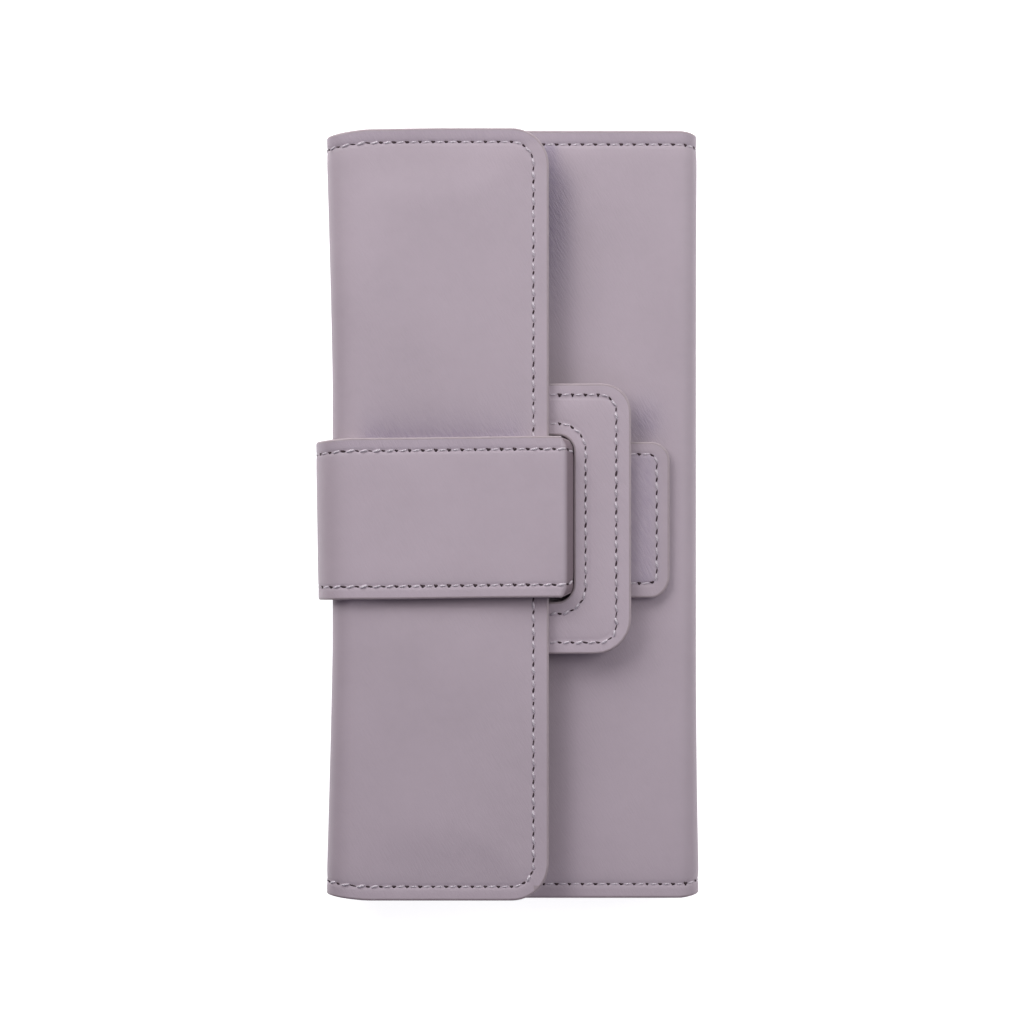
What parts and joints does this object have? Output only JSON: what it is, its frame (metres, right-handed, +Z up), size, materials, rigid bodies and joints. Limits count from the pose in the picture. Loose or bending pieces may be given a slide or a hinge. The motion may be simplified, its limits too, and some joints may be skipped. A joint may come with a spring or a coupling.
{
  "type": "long flap wallet",
  "caption": "Long leather wallet with a folding flap, a strap that passes through a loop tab, a gusseted pouch, card pockets and a zip coin pocket.",
  "frame": {"origin": "under the middle of the wallet's bounding box, on the surface that it lies on", "axes": "+X from the spine to the fold, +Y along the wallet's length, +Z up, out of the side with the flap and the strap"},
  "size_m": [0.094, 0.19, 0.0226],
  "materials": {
    "leather_outer": "smooth coated leather, satin",
    "leather_strap": "smooth coated leather, satin",
    "leather_inner": "smooth coated leather, satin",
    "lining": "woven, matt",
    "zip_tape": "woven, matt",
    "board": "matt",
    "zip_metal": "polished",
    "snap_metal": "plain"
  },
  "bodies": {
    "back": {"shell_back": "leather_outer", "shell_fold": "leather_outer", "lining_fold": "lining", "board_back": "board", "coin_bag": "lining", "lining_back": "lining", "zip_tapes": "zip_tape", "zip_teeth": "zip_metal", "zip_stops": "zip_metal", "card_pocket_back_1": "leather_inner", "card_pocket_back_2": "leather_inner", "card_pocket_back_3": "leather_inner", "gusset_leaf_back": "lining", "strap_back_run": "leather_strap"},
    "spine": {"shell_spine": "leather_outer", "board_spine": "board", "lining_spine": "lining", "strap_spine": "leather_strap"},
    "flap": {"shell_flap": "leather_outer", "board_flap": "board", "lining_flap": "lining", "flap_slip_pocket": "leather_inner", "loop_outer": "leather_strap", "loop_lining": "leather_inner", "strap_top_outer": "leather_strap", "strap_top_lining": "leather_inner", "snap_magnet": "snap_metal"},
    "front": {"shell_front": "leather_outer", "board_front": "board", "lining_front": "lining", "snap_plate": "snap_metal", "card_pocket_front_1": "leather_inner", "card_pocket_front_2": "leather_inner", "gusset_leaf_front": "lining"},
    "divider": {"divider_panel": "leather_inner", "divider_pocket": "leather_inner"},
    "zip_slider": {"zip_slider": "zip_metal"},
    "zip_pull": {"zip_pull": "zip_metal"}
  },
  "joints": [
    {"name": "spine_fold", "type": "hinge", "parent": "back", "child": "spine", "pos_m": [-0.04352, 0, 0.00158], "axis": [0, -1, 0], "range_deg": [0, 72]},
    {"name": "flap_fold", "type": "hinge", "parent": "spine", "child": "flap", "pos_m": [-0.04352, 0, 0.02102], "axis": [0, -1, 0], "range_deg": [0, 111.6]},
    {"name": "front_gape", "type": "hinge", "parent": "back", "child": "front", "pos_m": [0.04568, 0, 0.01248], "axis": [0, 1, 0], "range_deg": [0, 9]},
    {"name": "divider_gape", "type": "hinge", "parent": "back", "child": "divider", "pos_m": [0.0453, 0, 0.0084], "axis": [0, 1, 0], "range_deg": [0, 4.5]},
    {"name": "zip_slide", "type": "slide", "parent": "back", "child": "zip_slider", "axis": [0, -1, 0], "range_m": [0, 0.128]},
    {"name": "pull_swing", "type": "hinge", "parent": "zip_slider", "child": "zip_pull", "pos_m": [-0.031, 0.0631, 0.00785], "axis": [0, 0, 1], "range_deg": [-20, 20]}
  ],
  "couplings": [
    {"joint": "flap_fold", "follows": "spine_fold", "ratio": 1.55},
    {"joint": "front_gape", "follows": "spine_fold", "ratio": 0.125},
    {"joint": "divider_gape", "follows": "spine_fold", "ratio": 0.0625}
  ]
}
